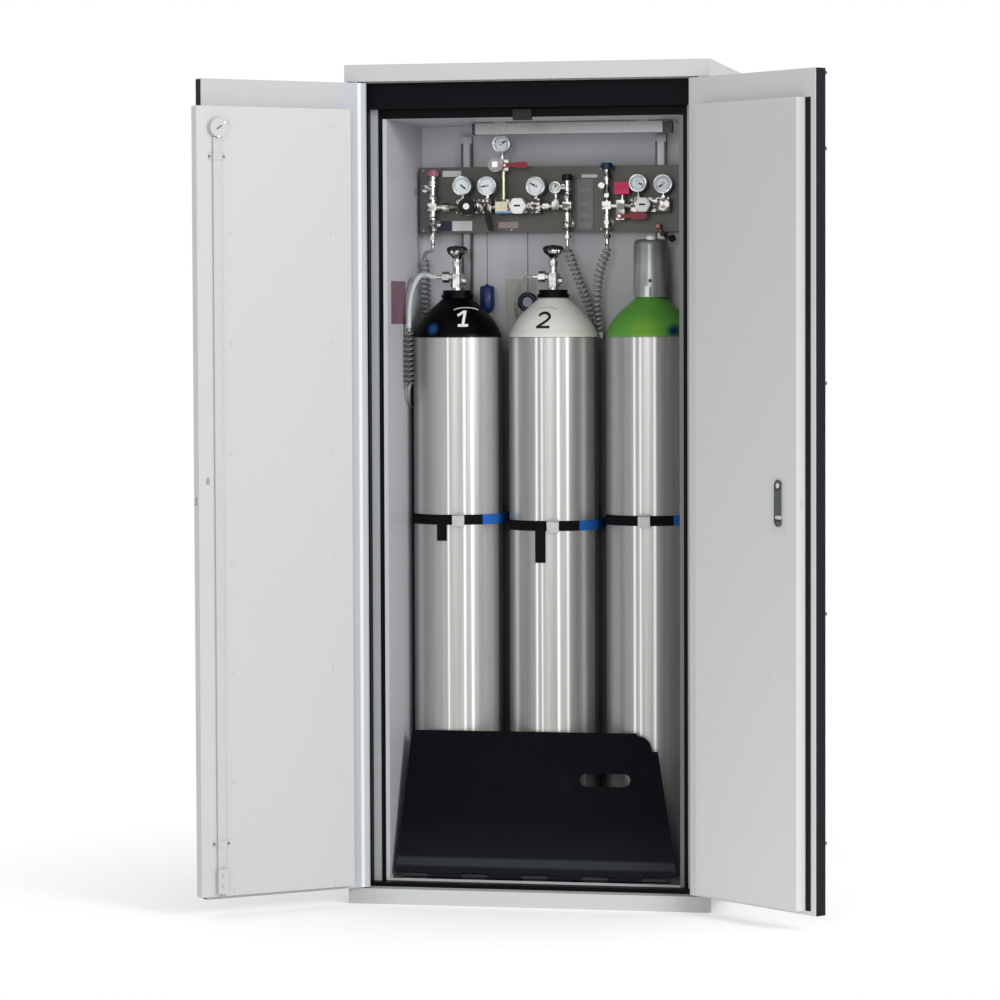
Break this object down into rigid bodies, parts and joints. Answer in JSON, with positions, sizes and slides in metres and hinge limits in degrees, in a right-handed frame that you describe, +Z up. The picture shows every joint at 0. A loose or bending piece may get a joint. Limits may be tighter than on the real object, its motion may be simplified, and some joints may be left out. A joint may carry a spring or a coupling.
{
  "type": "fireproof gas cylinder cabinet",
  "caption": "Free-standing steel safety cabinet with stepped double doors open, upright gas cylinders strapped inside, a folding ramp and a stainless gas panel with gauges.",
  "frame": {"origin": "centre of the cabinet's base, on the floor under the middle skid", "axes": "+Z up, -Y out of the front, +X to the right seen from the front"},
  "size_m": [1.5092, 0.9325, 2.074],
  "materials": {
    "shell_paint": "light grey powder coat",
    "frame_black": "black powder coat",
    "base_metal": "dark grey paint",
    "board": "matt fire board",
    "liner": "grey melamine",
    "strip_grey": "grey expansion strip",
    "seal_black": "matt black",
    "zinc": "zinc plated",
    "stainless": "brushed stainless steel",
    "nickel": "nickel plated brass",
    "gauge_metal": "polished case",
    "cylinder_steel": "brushed steel body, painted shoulder",
    "cap_paint": "grey hammer finish",
    "webbing": "black webbing",
    "black_plastic": "matt black",
    "white_plastic": "white",
    "red_plastic": "red",
    "pink_plastic": "pale red",
    "blue_plastic": "blue",
    "ramp_black": "black powder coat"
  },
  "bodies": {
    "cabinet": {"side_panels": "shell_paint", "back_panel": "shell_paint", "roof_panel": "shell_paint", "cornice": "shell_paint", "plinth_panel": "shell_paint", "base_frame": "base_metal", "levelling_feet": "base_metal", "fire_boards": "board", "liner_panels": "liner", "floor_tray": "liner", "door_frame": "frame_black", "expansion_strips": "strip_grey", "pivot_bearings": "base_metal", "exhaust_spigot": "shell_paint", "bolt_keep": "frame_black", "mounting_rails": "zinc", "gas_panel": "stainless", "gauges": "gauge_metal", "regulators": "nickel", "valve_columns": "nickel", "panel_pipework": "nickel", "pigtails": "zinc", "wall_plate": "red_plastic", "cylinder_left": "cylinder_steel", "cylinder_middle": "cylinder_steel", "cylinder_right": "cylinder_steel", "neck_fittings": "cap_paint", "cylinder_valves": "nickel", "cylinder_straps": "webbing", "strap_buckles": "black_plastic", "ramp_hinge": "ramp_black"},
    "left_leaf": {"left_skin": "shell_paint", "left_core": "board", "left_inner_panel": "shell_paint", "left_pivots": "zinc", "left_edge_seal": "seal_black", "rod_cover": "shell_paint"},
    "right_leaf": {"right_skin": "shell_paint", "right_core": "board", "right_inner_panel": "shell_paint", "right_pivots": "zinc", "right_gaskets": "seal_black", "lock_plates": "base_metal"},
    "ramp": {"ramp": "ramp_black"},
    "top_bolt": {"top_bolt": "zinc"},
    "bottom_bolt": {"bottom_bolt": "zinc"},
    "release_button": {"release_button": "black_plastic"},
    "latch_bolt": {"latch_bolt": "zinc"},
    "door_handle": {"door_handle": "black_plastic"},
    "handwheel_left": {"handwheel_left": "black_plastic"},
    "handwheel_middle": {"handwheel_middle": "black_plastic"},
    "regulator_knob_1": {"regulator_knob_1": "black_plastic"},
    "regulator_knob_2": {"regulator_knob_2": "white_plastic"},
    "regulator_knob_3": {"regulator_knob_3": "white_plastic"},
    "valve_knob_1": {"valve_knob_1": "pink_plastic"},
    "valve_knob_2": {"valve_knob_2": "black_plastic"},
    "valve_knob_3": {"valve_knob_3": "blue_plastic"},
    "lever_left": {"lever_left": "black_plastic"},
    "lever_upper": {"lever_upper": "red_plastic"},
    "lever_right": {"lever_right": "red_plastic"}
  },
  "joints": [
    {"name": "left_door", "type": "hinge", "parent": "cabinet", "child": "left_leaf", "pos_m": [-0.424, -0.298, 1], "axis": [0, 0, 1], "range_deg": [-10, 140]},
    {"name": "right_door", "type": "hinge", "parent": "cabinet", "child": "right_leaf", "pos_m": [0.424, -0.298, 1], "axis": [0, 0, -1], "range_deg": [-10, 140]},
    {"name": "ramp_fold", "type": "hinge", "parent": "cabinet", "child": "ramp", "pos_m": [0, -0.222, 0.061], "axis": [-1, 0, 0], "range_deg": [-121, 0]},
    {"name": "top_bolt_slide", "type": "slide", "parent": "left_leaf", "child": "top_bolt", "axis": [0, 0, 1], "range_m": [0, 0.01]},
    {"name": "bottom_bolt_slide", "type": "slide", "parent": "left_leaf", "child": "bottom_bolt", "axis": [0, 0, -1], "range_m": [0, 0.01]},
    {"name": "release_press", "type": "slide", "parent": "left_leaf", "child": "release_button", "axis": [-0.6428, 0.766, 0], "range_m": [0, 0.003], "stiffness_N_per_m": 400},
    {"name": "handle_turn", "type": "hinge", "parent": "right_leaf", "child": "door_handle", "pos_m": [0.68476, -0.50374, 1], "axis": [0.6428, 0.766, 0], "range_deg": [0, 45]},
    {"name": "latch_slide", "type": "slide", "parent": "right_leaf", "child": "latch_bolt", "axis": [0.766, -0.6428, 0], "range_m": [0, 0.02]},
    {"name": "handwheel_left_turn", "type": "hinge", "parent": "cabinet", "child": "handwheel_left", "pos_m": [-0.244, 0.037, 1.583], "axis": [0, 0, 1], "range_deg": [0, 720]},
    {"name": "handwheel_middle_turn", "type": "hinge", "parent": "cabinet", "child": "handwheel_middle", "pos_m": [0.002, 0.037, 1.583], "axis": [0, 0, 1], "range_deg": [0, 720]},
    {"name": "regulator_knob_1_turn", "type": "hinge", "parent": "cabinet", "child": "regulator_knob_1", "pos_m": [-0.217, 0.037, 1.715], "axis": [0, 1, 0], "range_deg": [0, 720]},
    {"name": "regulator_knob_2_turn", "type": "hinge", "parent": "cabinet", "child": "regulator_knob_2", "pos_m": [-0.087, 0.037, 1.715], "axis": [0, 1, 0], "range_deg": [0, 720]},
    {"name": "regulator_knob_3_turn", "type": "hinge", "parent": "cabinet", "child": "regulator_knob_3", "pos_m": [0.23, 0.037, 1.715], "axis": [0, 1, 0], "range_deg": [0, 720]},
    {"name": "valve_knob_1_turn", "type": "hinge", "parent": "cabinet", "child": "valve_knob_1", "pos_m": [-0.315, 0.077, 1.792], "axis": [0, 0, 1], "range_deg": [0, 360]},
    {"name": "valve_knob_2_turn", "type": "hinge", "parent": "cabinet", "child": "valve_knob_2", "pos_m": [0.031, 0.077, 1.778], "axis": [0, 0, 1], "range_deg": [0, 360]},
    {"name": "valve_knob_3_turn", "type": "hinge", "parent": "cabinet", "child": "valve_knob_3", "pos_m": [0.132, 0.077, 1.805], "axis": [0, 0, 1], "range_deg": [0, 360]},
    {"name": "lever_left_turn", "type": "hinge", "parent": "cabinet", "child": "lever_left", "pos_m": [-0.176, 0.05, 1.718], "axis": [0, -1, 0], "range_deg": [0, 75]},
    {"name": "lever_upper_turn", "type": "hinge", "parent": "cabinet", "child": "lever_upper", "pos_m": [-0.125, 0.054, 1.818], "axis": [0, 1, 0], "range_deg": [0, 90]},
    {"name": "lever_right_turn", "type": "hinge", "parent": "cabinet", "child": "lever_right", "pos_m": [0.167, 0.055, 1.688], "axis": [0, 1, 0], "range_deg": [0, 90]}
  ],
  "couplings": [
    {"joint": "bottom_bolt_slide", "follows": "top_bolt_slide", "ratio": 1},
    {"joint": "latch_slide", "follows": "handle_turn", "m_per_rad": 0.025462}
  ]
}
